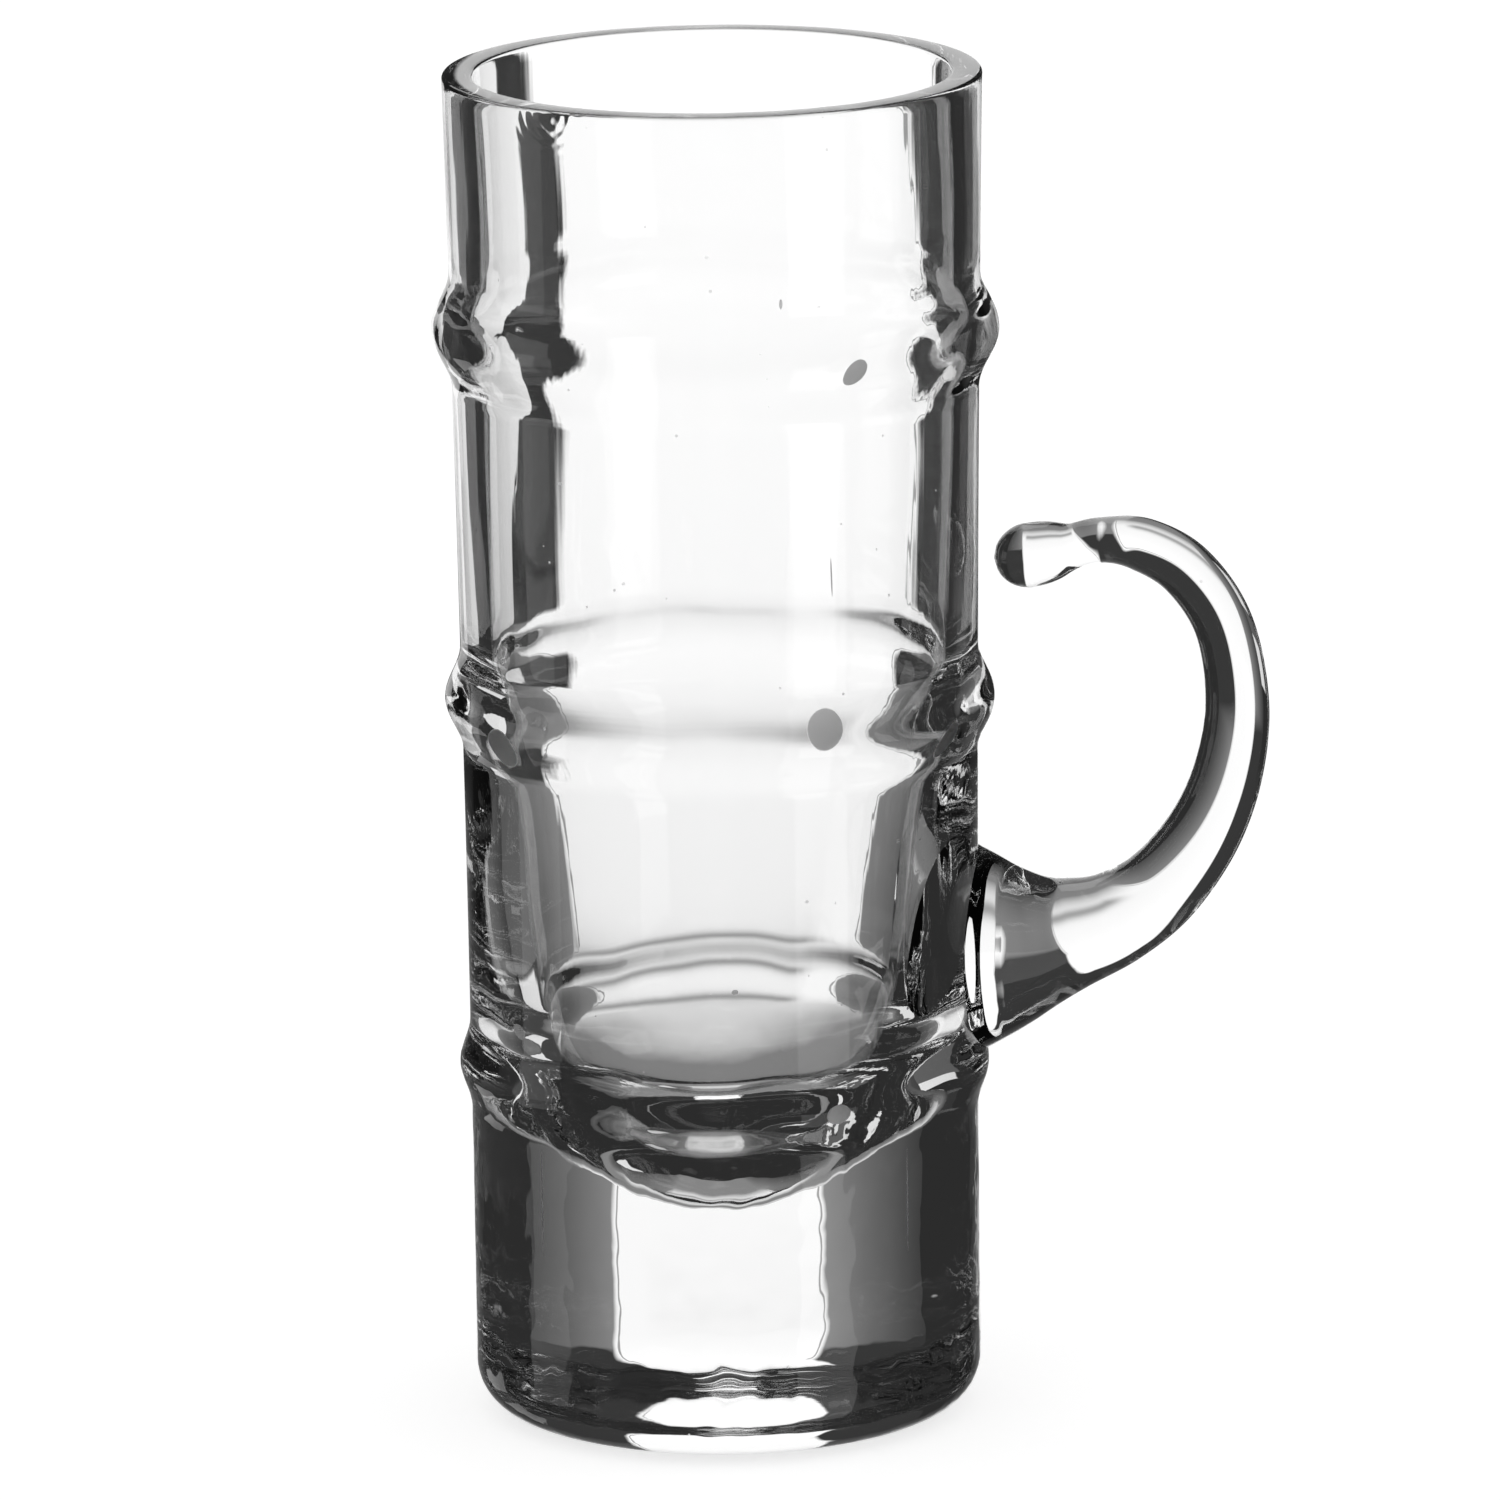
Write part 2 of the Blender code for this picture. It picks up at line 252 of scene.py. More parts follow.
def cup_tree():
    """Turns the half section into the cup, moves the hollow off the middle and makes the glass wavy."""
    tree = new_tree("turn_cup", [
        ("Steps", "NodeSocketInt"),
        ("Rim Row", "NodeSocketInt"),
        ("Shift At Floor", "NodeSocketFloat"),
        ("Shift Per Height", "NodeSocketFloat"),
        ("Inside Waviness", "NodeSocketFloat"),
        ("Outside Waviness", "NodeSocketFloat"),
        ("Ring Wander", "NodeSocketFloat"),
        ("Seed", "NodeSocketFloat"),
        ("Glass", "NodeSocketMaterial"),
    ])
    sizes = tree.nodes.new("NodeGroupInput").outputs
    rows = put(tree, "GeometryNodeAttributeDomainSize", {"Geometry": sizes["Geometry"]})
    count = rows.outputs["Point Count"]
    columns = calc(tree, "ADD", sizes["Steps"], 1.0)
    grid = put(tree, "GeometryNodeMeshGrid",
               {"Vertices X": count, "Vertices Y": columns, "Size X": 1.0, "Size Y": 1.0})
    place = put(tree, "ShaderNodeSeparateXYZ", {"Vector": position(tree)}).outputs
    last_row = calc(tree, "SUBTRACT", count, 1.0)
    row = calc(tree, "ROUND", calc(tree, "MULTIPLY", calc(tree, "ADD", place["X"], 0.5), last_row))
    turn = calc(tree, "MULTIPLY", calc(tree, "ADD", place["Y"], 0.5), 2.0 * math.pi)
    inside = calc(tree, "LESS_THAN", row, sizes["Rim Row"])
    marked = put(tree, "GeometryNodeStoreNamedAttribute",
                 {"Geometry": grid.outputs["Mesh"], "Name": "inside", "Value": inside},
                 data_type="FLOAT", domain="POINT")
    section = put(tree, "GeometryNodeSampleIndex",
                  {"Geometry": sizes["Geometry"], "Index": row, "Value": position(tree)},
                  data_type="FLOAT_VECTOR", domain="POINT")
    cut = put(tree, "ShaderNodeSeparateXYZ", {"Vector": section.outputs[0]}).outputs
    fade = ease(tree, cut["Z"], CUP_HEIGHT - STEADY_RIM, CUP_HEIGHT - SHIFT_ENDS_BELOW_RIM, 1.0, 0.0)
    lean = calc(tree, "MULTIPLY_ADD", cut["Z"], sizes["Shift Per Height"], sizes["Shift At Floor"])
    shift = calc(tree, "MULTIPLY", calc(tree, "MULTIPLY", inside, fade), lean)
    turned = put(tree, "ShaderNodeCombineXYZ", {
        "X": calc(tree, "MULTIPLY_ADD", cut["X"], calc(tree, "COSINE", turn), shift),
        "Y": calc(tree, "MULTIPLY", cut["X"], calc(tree, "SINE", turn)),
        "Z": cut["Z"],
    })
    skin = put(tree, "GeometryNodeSetPosition",
               {"Geometry": marked.outputs["Geometry"], "Position": turned.outputs["Vector"]})
    closed = put(tree, "GeometryNodeMergeByDistance",
                 {"Geometry": skin.outputs["Geometry"], "Distance": WELD_DISTANCE})

    def wave(stretch, scale, detail):
        """A noise from -1 to 1 over the glass, stretched along the axes."""
        stretched = put(tree, "ShaderNodeVectorMath", {0: position(tree), 1: stretch}, operation="MULTIPLY")
        noise = put(tree, "ShaderNodeTexNoise", {
            "Vector": stretched.outputs[0],
            "W": sizes["Seed"],
            "Scale": scale,
            "Detail": detail,
            "Roughness": 0.45,
        }, noise_dimensions="4D")
        return calc(tree, "MULTIPLY_ADD", noise.outputs[0], 2.0, -1.0)

    inner = put(tree, "GeometryNodeInputNamedAttribute", {"Name": "inside"}, data_type="FLOAT").outputs[0]
    outer = calc(tree, "SUBTRACT", 1.0, inner)
    waviness = calc(tree, "ADD", calc(tree, "MULTIPLY", inner, sizes["Inside Waviness"]),
                    calc(tree, "MULTIPLY", outer, sizes["Outside Waviness"]))
    depth = calc(tree, "MULTIPLY", wave(SWIRL_STRETCH, SWIRL_SCALE, SWIRL_DETAIL), waviness)
    normal = tree.nodes.new("GeometryNodeInputNormal").outputs[0]
    offset = put(tree, "ShaderNodeVectorMath", {0: normal, "Scale": depth}, operation="SCALE")
    height = put(tree, "ShaderNodeSeparateXYZ", {"Vector": position(tree)}).outputs["Z"]
    above_foot = ease(tree, height, BASE_THICKNESS, BASE_THICKNESS + WANDER_GROWS_OVER)
    below_rim = ease(tree, height, CUP_HEIGHT - STEADY_RIM, CUP_HEIGHT - WANDER_ENDS_BELOW_RIM, 1.0, 0.0)
    clear_of_ends = calc(tree, "MULTIPLY", above_foot, below_rim)
    wander = calc(tree, "MULTIPLY", wave(WANDER_STRETCH, WANDER_SCALE, WANDER_DETAIL), sizes["Ring Wander"])
    lift = put(tree, "ShaderNodeCombineXYZ", {"Z": calc(tree, "MULTIPLY", wander, clear_of_ends)})
    moved = put(tree, "ShaderNodeVectorMath", {0: offset.outputs[0], 1: lift.outputs[0]}, operation="ADD")
    wavy = put(tree, "GeometryNodeSetPosition",
               {"Geometry": closed.outputs["Geometry"], "Offset": moved.outputs[0]})
    finish_tree(tree, wavy.outputs["Geometry"], sizes["Glass"])
    return tree


STREAK_STRETCH = (1.0, 1.0, 0.03)
STREAK_SCALE = 900.0
RIPPLE_STRETCH = (1.0, 1.0, 0.8)
RIPPLE_SCALE = 230.0
PIT_SCALE = 140.0
PRINT_TURN = -37.0
PRINT_REACH = (0.002, 0.001, 0.001)
PRINT_RADIUS = 3.0
PRINT_RINGS = 5.0
PRINT_FALL = -0.35
SPOT_ROUGHNESS = 0.85
PIT_ROUGHNESS = 0.6
FOOT_ROUGHNESS = 0.08
SPOT_DEPTH = 0.0016
WORN_SPOTS = (
    # turn from the front towards the handle in degrees, height, half width, half height, lean in degrees
    (29.0, 0.1297, 0.0019, 0.0011, 37.0), (22.6, 0.0880, 0.0022, 0.0028, -20.0),
    (-53.0, 0.0836, 0.0025, 0.0026, 32.0), (56.0, 0.0836, 0.0014, 0.0026, -36.0),
    (25.0, 0.0417, 0.0015, 0.0011, 10.0), (-96.0, 0.1302, 0.0024, 0.0014, 15.0),
    (103.0, 0.0855, 0.0026, 0.0020, -25.0), (-88.0, 0.0420, 0.0020, 0.0013, 8.0),
    # thin scratches and single pits
    (25.3, 0.1054, 0.0001, 0.0023, 2.0), (-46.0, 0.0295, 0.0001, 0.0062, 0.0),
    (44.9, 0.0295, 0.0001, 0.0062, 0.0), (14.2, 0.1380, 0.0002, 0.0006, 0.0),
    (2.5, 0.0569, 0.0004, 0.0003, 10.0), (-118.0, 0.1080, 0.0001, 0.0040, 6.0),
)


def glass_surface():
    """The marks of making and use: drawn-out ripples, a tool's print by the rim, and spots worn matt."""
    group = bpy.data.node_groups.new("glass_surface", "ShaderNodeTree")
    for size_name in ("Ripple Depth", "Streak Depth", "Print Depth"):
        group.interface.new_socket(name=size_name, in_out="INPUT", socket_type="NodeSocketFloat")
    for mark_name in ("Height", "Worn"):
        group.interface.new_socket(name=mark_name, in_out="OUTPUT", socket_type="NodeSocketFloat")
    sizes = group.nodes.new("NodeGroupInput").outputs
    place = put(group, "ShaderNodeTexCoord").outputs["Object"]

    def ripple(stretch, scale):
        """A noise over the glass, stretched along the axes."""
        stretched = put(group, "ShaderNodeVectorMath", {0: place, 1: stretch}, operation="MULTIPLY")
        noise = put(group, "ShaderNodeTexNoise",
                    {"Vector": stretched.outputs[0], "Scale": scale, "Detail": 1.0, "Roughness": 0.5})
        return noise.outputs[0]

    def off_middle(turn, height, radius, reach, lean):
        """Distance from a place on the wall, in units of the reach along and across the wall."""
        angle = math.radians(turn)
        mapping = put(group, "ShaderNodeMapping", {
            "Vector": place,
            "Location": (radius * math.sin(angle), -radius * math.cos(angle), height),
            "Rotation": (math.radians(lean), 0.0, angle - math.pi / 2),
            "Scale": reach,
        }, vector_type="TEXTURE")
        length = put(group, "ShaderNodeVectorMath", {0: mapping.outputs[0]}, operation="LENGTH")
        return length.outputs["Value"]

    streaks = ripple(STREAK_STRETCH, STREAK_SCALE)
    ripples = ripple(RIPPLE_STRETCH, RIPPLE_SCALE)
    apart = put(group, "ShaderNodeSeparateXYZ", {"Vector": place}).outputs
    square = calc(group, "MULTIPLY_ADD", apart["X"], apart["X"],
                  calc(group, "MULTIPLY", apart["Y"], apart["Y"]))
    outside = ease(group, calc(group, "SQRT", square), 0.0235, 0.027)
    in_base = ease(group, apart["Z"], 0.034, 0.046, 1.0, 0.012)
    in_front = ease(group, apart["Y"], -0.010, 0.010, 1.0, 0.35)
    chilled = calc(group, "MULTIPLY", calc(group, "MULTIPLY", outside, in_base), in_front)
    print_off = off_middle(PRINT_TURN, CUP_HEIGHT - RIM_ROUND, RIM_RADIUS, PRINT_REACH, 0.0)
    off_ring = calc(group, "POWER", calc(group, "SUBTRACT", print_off, PRINT_RADIUS), 2.0)
    print_band = calc(group, "EXPONENT", calc(group, "MULTIPLY", off_ring, PRINT_FALL))
    print_wave = calc(group, "COSINE", calc(group, "MULTIPLY", print_off, PRINT_RINGS))
    print_rings = calc(group, "MULTIPLY", print_wave, print_band)
    rise = calc(group, "MULTIPLY", streaks, sizes["Streak Depth"])
    chill_marks = calc(group, "MULTIPLY", ripples, chilled)
    rise = calc(group, "MULTIPLY_ADD", chill_marks, sizes["Ripple Depth"], rise)
    rise = calc(group, "MULTIPLY_ADD", print_rings, sizes["Print Depth"], rise)
    worn = 0.0
    for turn, height, half_width, half_height, lean in WORN_SPOTS:
        off = off_middle(turn, height, outside_radius(height), (SPOT_DEPTH, half_width, half_height), lean)
        worn = calc(group, "MAXIMUM", ease(group, off, 0.94, 1.06, SPOT_ROUGHNESS, 0.0), worn)
    foot = ease(group, apart["Z"], 0.0001, 0.0004, FOOT_ROUGHNESS, 0.0)
    worn = calc(group, "MAXIMUM", worn, calc(group, "MULTIPLY", foot, ripples))
    pits = put(group, "ShaderNodeTexVoronoi", {"Vector": place, "Scale": PIT_SCALE}).outputs["Distance"]
    worn = calc(group, "MAXIMUM", worn, ease(group, pits, 0.022, 0.032, PIT_ROUGHNESS, 0.0))
    put(group, "NodeGroupOutput", {"Height": rise, "Worn": worn})
    return group


GLASS_IOR = 1.5


def clear_glass(name, surface, depths):
    """Colourless glass with the surface's marks at the given depths."""
    material = bpy.data.materials.new(name)
    material.use_nodes = True
    nodes = material.node_tree
    shader = nodes.nodes["Principled BSDF"]
    shader.inputs["Base Color"].default_value = (1.0, 1.0, 1.0, 1.0)
    shader.inputs["IOR"].default_value = GLASS_IOR
    shader.inputs["Transmission Weight"].default_value = 1.0
    marks = put(nodes, "ShaderNodeGroup", depths, node_tree=surface)
    bump = put(nodes, "ShaderNodeBump",
               {"Height": marks.outputs["Height"], "Strength": 1.0, "Distance": 1.0})
    nodes.links.new(marks.outputs["Worn"], shader.inputs["Roughness"])
    nodes.links.new(bump.outputs[0], shader.inputs["Normal"])
    return material


section_points = half_section()
rim_row = max(range(len(section_points)), key=lambda i: section_points[i][1]) + 1
section_mesh = bpy.data.meshes.new("cup_section")
section_mesh.from_pydata([(r, 0.0, z) for r, z in section_points],
                         [(i, i + 1) for i in range(len(section_points) - 1)], [])
section_object = bpy.data.objects.new("cup_section", section_mesh)
bpy.context.collection.objects.link(section_object)
surface_marks = glass_surface()
cup_glass = clear_glass("cup_glass", surface_marks,
                        {"Ripple Depth": 0.00018, "Streak Depth": 0.000004, "Print Depth": 0.000005})
cup_mesh = worked_mesh(section_object, cup_tree(), {
    "Steps": CUP_STEPS,
    "Rim Row": rim_row,
    "Shift At Floor": -0.0008,
    "Shift Per Height": 0.008,
    "Inside Waviness": 0.00007,
    "Outside Waviness": 0.00003,
    "Ring Wander": 0.0016,
    "Seed": 3.7,
    "Glass": cup_glass,
})
bpy.data.objects.remove(section_object)
cup = bpy.data.objects.new("cup", cup_mesh)
bpy.context.collection.objects.link(cup)


# Handle: a second gather of the same glass, laid hot on the wall as a flared pad, drawn out into a rod,
# curled up and back in a hook and left with a round drop at its free end.
HANDLE_STEPS = 48
KNOT_STEPS = 24
PATH_STEPS = 300
DROP_MIDDLE = 0.0894
LEAST_ROUND = 0.002
SHARP_EDGE = 40.0
# the rod's middle line as (out, up)
HANDLE_KNOTS = (
    (0.0255, 0.0548), (0.0310, 0.05485), (0.0360, 0.05525), (0.0410, 0.0562), (0.0463, 0.0580),
    (0.0517, 0.0617), (0.0567, 0.0682), (0.0597, 0.0757), (0.06075, 0.0841), (0.0592, 0.0932),
    (0.0550, 0.0997), (0.0498, 0.1029), (0.0450, 0.10355), (0.0410, 0.10275), (0.0364, 0.10185),
    (0.03235, 0.1016),
)
# the rod's radius in the plane of the hook, and across it, as (way along the line, radius)
HANDLE_THICKNESS = (
    (0.0, 0.0149), (0.0071, 0.0111), (0.0141, 0.0073), (0.0158, 0.0067), (0.0212, 0.00565),
    (0.0278, 0.0050), (0.0441, 0.0041), (0.0618, 0.0035), (0.0696, 0.0034), (0.0757, 0.0032),
    (0.0808, 0.00266), (0.0838, 0.00262), (0.0844, 0.00276), (0.0865, 0.00349), (0.0880, 0.00375),
    (DROP_MIDDLE, 0.00382),
)
HANDLE_BREADTH = (
    (0.0, 0.0106), (0.0038, 0.0105), (0.0046, 0.0103), (0.0093, 0.0088), (0.0141, 0.0071),
    (0.0158, 0.0067), (0.0212, 0.00565), (0.0278, 0.0050), (0.0441, 0.0041), (0.0618, 0.0035),
    (0.0700, 0.0034), (0.0780, 0.0034), (0.0810, 0.00316), (0.0838, 0.0029), (0.0848, 0.00297),
    (0.0866, 0.00335), (0.0881, 0.0036), (DROP_MIDDLE, 0.00382),
)


def rod_points(knots, steps):
    """Points on a smooth curve through the knots, with the given steps between each two."""
    reached = [knots[0], *knots, knots[-1]]
    points = []
    for i in range(len(knots) - 1):
        before, start, end, after = [Vector(knot) for knot in reached[i:i + 4]]
        bend = 2 * before - 5 * start + 4 * end - after
        swing = 3 * start - before - 3 * end + after
        for step in range(steps):
            t = step / steps
            points.append(start + 0.5 * t * (end - before + t * (bend + t * swing)))
    return points + [Vector(knots[-1])]


def handle_tree():
    """Draws the rod along its path, as thick and as broad as the path's points say."""
    tree = new_tree("draw_handle", [
        ("Steps", "NodeSocketInt"),
        ("Path Steps", "NodeSocketInt"),
        ("Glass", "NodeSocketMaterial"),
    ])
    sizes = tree.nodes.new("NodeGroupInput").outputs

    def reading(name):
        return put(tree, "GeometryNodeInputNamedAttribute", {"Name": name}, data_type="FLOAT").outputs[0]

    path = put(tree, "GeometryNodeMeshToCurve", {"Mesh": sizes["Geometry"]})
    even = put(tree, "GeometryNodeResampleCurve",
               {"Curve": path.outputs["Curve"], "Count": sizes["Path Steps"]})
    thick = put(tree, "GeometryNodeSetCurveRadius",
                {"Curve": even.outputs["Curve"], "Radius": reading("thickness")})
    ring = put(tree, "GeometryNodeCurvePrimitiveCircle", {"Resolution": sizes["Steps"], "Radius": 1.0})
    rod = put(tree, "GeometryNodeCurveToMesh",
              {"Curve": thick.outputs["Curve"], "Profile Curve": ring.outputs["Curve"], "Fill Caps": True})
    if "Scale" in rod.inputs:
        tree.links.new(tree.nodes.new("GeometryNodeInputRadius").outputs[0], rod.inputs["Scale"])
    place = put(tree, "ShaderNodeSeparateXYZ", {"Vector": position(tree)}).outputs
    broaden = calc(tree, "DIVIDE", reading("breadth"), reading("thickness"))
    pressed = put(tree, "ShaderNodeCombineXYZ",
                  {"X": place["X"], "Y": calc(tree, "MULTIPLY", place["Y"], broaden), "Z": place["Z"]})
    shaped = put(tree, "GeometryNodeSetPosition",
                 {"Geometry": rod.outputs["Mesh"], "Position": pressed.outputs["Vector"]})
    finish_tree(tree, shaped.outputs["Geometry"], sizes["Glass"])
    return tree


path_points = rod_points(HANDLE_KNOTS, KNOT_STEPS)
path_lengths = [0.0]
for before, after in zip(path_points, path_points[1:]):
    path_lengths.append(path_lengths[-1] + (after - before).length)
path_mesh = bpy.data.meshes.new("handle_path")
path_mesh.from_pydata([(x, 0.0, z) for x, z in path_points],
                      [(i, i + 1) for i in range(len(path_points) - 1)], [])
for attribute_name, stations in (("thickness", HANDLE_THICKNESS), ("breadth", HANDLE_BREADTH)):
    values = path_mesh.attributes.new(attribute_name, "FLOAT", "POINT").data
    for value, length in zip(values, path_lengths):
        past_drop = max(length - DROP_MIDDLE, 0.0) / (path_lengths[-1] - DROP_MIDDLE)
        round_end = math.sqrt(max(1.0 - past_drop ** 2, LEAST_ROUND))
        value.value = smooth_run(stations, min(length, DROP_MIDDLE)) * round_end
path_object = bpy.data.objects.new("handle_path", path_mesh)
bpy.context.collection.objects.link(path_object)
handle_glass = clear_glass("handle_glass", surface_marks,
                           {"Ripple Depth": 0.00001, "Streak Depth": 0.0, "Print Depth": 0.0})
handle_mesh = worked_mesh(path_object, handle_tree(), {
    "Steps": HANDLE_STEPS,
    "Path Steps": PATH_STEPS,
    "Glass": handle_glass,
})
bpy.data.objects.remove(path_object)
handle = bpy.data.objects.new("handle", handle_mesh)
bpy.context.collection.objects.link(handle)
weld = cup.modifiers.new("weld", "BOOLEAN")
weld.operation = "UNION"
weld.solver = "EXACT"
weld.material_mode = "TRANSFER"
weld.object = handle
welded = bpy.data.meshes.new_from_object(cup.evaluated_get(bpy.context.evaluated_depsgraph_get()))
cup.modifiers.remove(weld)
bpy.data.objects.remove(handle)
cup.data = welded
cup.data.set_sharp_from_angle(angle=math.radians(SHARP_EDGE))
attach(cup, "root")
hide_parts("glass_body", "applied_handle")


# Studio: a pale floor that keeps the glass's soft shadow, and cards in a dark room, hidden from the camera,
# which is how clear glass is lit so that its edges show. The card behind lights the middle of the glass, a
# flag and a small card beside it shape its left side, and far cards are backdrops for the other sides.
FLOOR_WIDTH = 8.0
FLOOR_GAP = 0.0004
FLOOR_GLOW = 0.72
CARD_DARK = 0.04
PAST_CARD = 9.0


def studio_plane(name, width, height, place):
    mesh = bpy.data.meshes.new(name)
    x = width / 2
    z = height / 2
    mesh.from_pydata([(-x, 0, -z), (x, 0, -z), (x, 0, z), (-x, 0, z)], [], [(0, 1, 2, 3)])
    plane = bpy.data.objects.new(name, mesh)
    plane.matrix_world = place
    bpy.context.collection.objects.link(plane)
    return plane


def bare_material(plane):
    """An empty node material on a studio plane, named for it."""
    material = bpy.data.materials.new(plane.name)
    material.use_nodes = True
    material.node_tree.nodes.clear()
    plane.data.materials.append(material)
    return material.node_tree


def span(tree, value, low, high, soft):
    """1 where a value lies between low and high, with soft edges."""
    return calc(tree, "MULTIPLY", ease(tree, value, low - soft, low + soft),
                ease(tree, value, high - soft, high + soft, 1.0, 0.0))


def card_place(tree):
    """How far across and how far up a card a point lies, from the card's middle."""
    place = put(tree, "ShaderNodeTexCoord").outputs["Object"]
    apart = put(tree, "ShaderNodeSeparateXYZ", {"Vector": place}).outputs
    return apart["X"], apart["Z"]


def light_card(card, tree, light, shown=1.0):
    """Gives a card its light where it is shown, and leaves it to the glass alone to see."""
    glow = put(tree, "ShaderNodeEmission", {"Strength": light})
    clear = put(tree, "ShaderNodeBsdfTransparent")
    mixed = put(tree, "ShaderNodeMixShader", {0: shown, 1: clear.outputs[0], 2: glow.outputs[0]})
    put(tree, "ShaderNodeOutputMaterial", {"Surface": mixed.outputs[0]})
    card.visible_camera = False
    card.visible_shadow = False
    card.visible_diffuse = False


floor_place = Matrix.Translation((0, 0, -FLOOR_GAP)) @ Matrix.Rotation(math.radians(-90), 4, "X")
floor_nodes = bare_material(studio_plane("studio_floor", FLOOR_WIDTH, FLOOR_WIDTH, floor_place))
floor_paint = put(floor_nodes, "ShaderNodeBsdfDiffuse", {"Color": (0.9, 0.9, 0.9, 1.0)})
floor_glow = put(floor_nodes, "ShaderNodeEmission", {"Strength": FLOOR_GLOW})
floor_sum = put(floor_nodes, "ShaderNodeAddShader", {0: floor_paint.outputs[0], 1: floor_glow.outputs[0]})
floor_clear = put(floor_nodes, "ShaderNodeBsdfTransparent")
floor_ray = put(floor_nodes, "ShaderNodeLightPath").outputs
floor_seen = calc(floor_nodes, "MAXIMUM", floor_ray["Is Camera Ray"], floor_ray["Is Diffuse Ray"])
floor_mix = put(floor_nodes, "ShaderNodeMixShader",
                {0: floor_seen, 1: floor_clear.outputs[0], 2: floor_sum.outputs[0]})
put(floor_nodes, "ShaderNodeOutputMaterial", {"Surface": floor_mix.outputs[0]})

BACK_CARD_AWAY = 0.306
PANEL_LEFT = -0.066
PANEL_RIGHT = 0.084
PANEL_SOFT = 0.004
PANEL_LIGHT = 1.22
PANEL_BOTTOM = -0.34
PANEL_MIDDLE = -0.08
PANEL_TOP = 0.12
BOTTOM_SHARE = 0.03
MIDDLE_SHARE = 0.84
TOP_EXTRA = 0.11
LEFT_LEAN = -0.17
RIGHT_LEAN = 0.084
LEAN_TOP = 0.1
SPREAD_FROM = 0.030
SPREAD_RATE = 0.5
SPREAD_MOST = 0.09
# painted shade: a darker band across the back card's light at one height, like the shade of a table edge in
# front of it; no table edge stands in the scene
PAINTED_SHADE_HEIGHT = -0.112
PAINTED_SHADE_REACH = 0.028
PAINTED_SHADE_END = 0.056
PAINTED_SHADE_SOFT = 0.012
PAINTED_SHADE_DEPTH = 0.6
LEFT_HEM = (PANEL_LEFT + 0.0035, PANEL_LEFT + 0.0050)
LEFT_HEM_TOP = 0.030
RIGHT_HEM = (PANEL_RIGHT - 0.0055, PANEL_RIGHT - 0.0040)
HEM_SHADE = 0.65
HEM_SOFT = 0.0004
CARD_SOFT = 0.010
GREY_LIGHT = 0.25
GREY_FALL = -11.0
back_card = studio_plane("back_card", 0.44, 1.6, Matrix.Translation((0, BACK_CARD_AWAY, 0)))
back = bare_material(back_card)
across, upward = card_place(back)
fade_low = ease(back, upward, PANEL_BOTTOM, PANEL_MIDDLE, BOTTOM_SHARE, MIDDLE_SHARE)
fade_high = ease(back, upward, PANEL_MIDDLE, PANEL_TOP, 0.0, TOP_EXTRA)
# the painted shade band: the card's light is made darker around one height
off_painted_shade = calc(back, "DIVIDE", calc(back, "SUBTRACT", upward, PAINTED_SHADE_HEIGHT), PAINTED_SHADE_REACH)
off_painted_shade_square = calc(back, "MULTIPLY", off_painted_shade, off_painted_shade)
painted_shade_band = calc(back, "EXPONENT", calc(back, "MULTIPLY", off_painted_shade_square, -1.0))
painted_shade_band = calc(back, "MULTIPLY", painted_shade_band,
                  span(back, across, -PAST_CARD, PAINTED_SHADE_END, PAINTED_SHADE_SOFT))
panel_fall = calc(back, "MULTIPLY", calc(back, "ADD", fade_low, fade_high),
                  calc(back, "MULTIPLY_ADD", painted_shade_band, -PAINTED_SHADE_DEPTH, 1.0))
above_table = calc(back, "MAXIMUM", calc(back, "SUBTRACT", upward, SPREAD_FROM), 0.0)
top_spread = calc(back, "MINIMUM", calc(back, "MULTIPLY", above_table, SPREAD_RATE), SPREAD_MOST)
leaning = calc(back, "MINIMUM", upward, LEAN_TOP)
left_across = calc(back, "MULTIPLY_ADD", leaning, LEFT_LEAN, calc(back, "ADD", across, top_spread))
right_across = calc(back, "MULTIPLY_ADD", leaning, RIGHT_LEAN, across)
white = calc(back, "MULTIPLY", span(back, left_across, PANEL_LEFT, PAST_CARD, PANEL_SOFT),
             span(back, right_across, -PAST_CARD, PANEL_RIGHT, PANEL_SOFT))
hem_left = calc(back, "MULTIPLY", span(back, left_across, *LEFT_HEM, HEM_SOFT),
                span(back, upward, -PAST_CARD, LEFT_HEM_TOP, CARD_SOFT))
hem_right = span(back, right_across, *RIGHT_HEM, HEM_SOFT)
hem = calc(back, "MULTIPLY_ADD", calc(back, "MAXIMUM", hem_left, hem_right), -HEM_SHADE, 1.0)
white_light = calc(back, "MULTIPLY", calc(back, "MULTIPLY", white, hem), PANEL_LIGHT)
off_left = calc(back, "SUBTRACT", PANEL_LEFT, left_across)
off_right = calc(back, "SUBTRACT", right_across, PANEL_RIGHT)
off_panel = calc(back, "MAXIMUM", calc(back, "MAXIMUM", off_left, off_right), 0.0)
grey = calc(back, "MULTIPLY", calc(back, "EXPONENT", calc(back, "MULTIPLY", off_panel, GREY_FALL)),
            span(back, upward, -PAST_CARD, 0.0, CARD_SOFT))
grey_light = calc(back, "MAXIMUM", calc(back, "MULTIPLY", grey, GREY_LIGHT), CARD_DARK)
back_light = calc(back, "MAXIMUM", calc(back, "MULTIPLY", white_light, panel_fall), grey_light)
light_card(back_card, back, back_light)

FLAG_RIGHT = 0.0585
FLAG_RIGHT_SOFT = 0.0015
FLAG_BOTTOM = -0.074
FLAG_BOTTOM_SOFT = 0.006
dark_flag = studio_plane("dark_flag", 0.120, 0.160, Matrix.Translation((-0.0920, 0.150, 0.127)))
flag = bare_material(dark_flag)
across, upward = card_place(flag)
flag_shown = calc(flag, "MULTIPLY", span(flag, across, -PAST_CARD, FLAG_RIGHT, FLAG_RIGHT_SOFT),
                  span(flag, upward, FLAG_BOTTOM, PAST_CARD, FLAG_BOTTOM_SOFT))
light_card(dark_flag, flag, CARD_DARK, flag_shown)

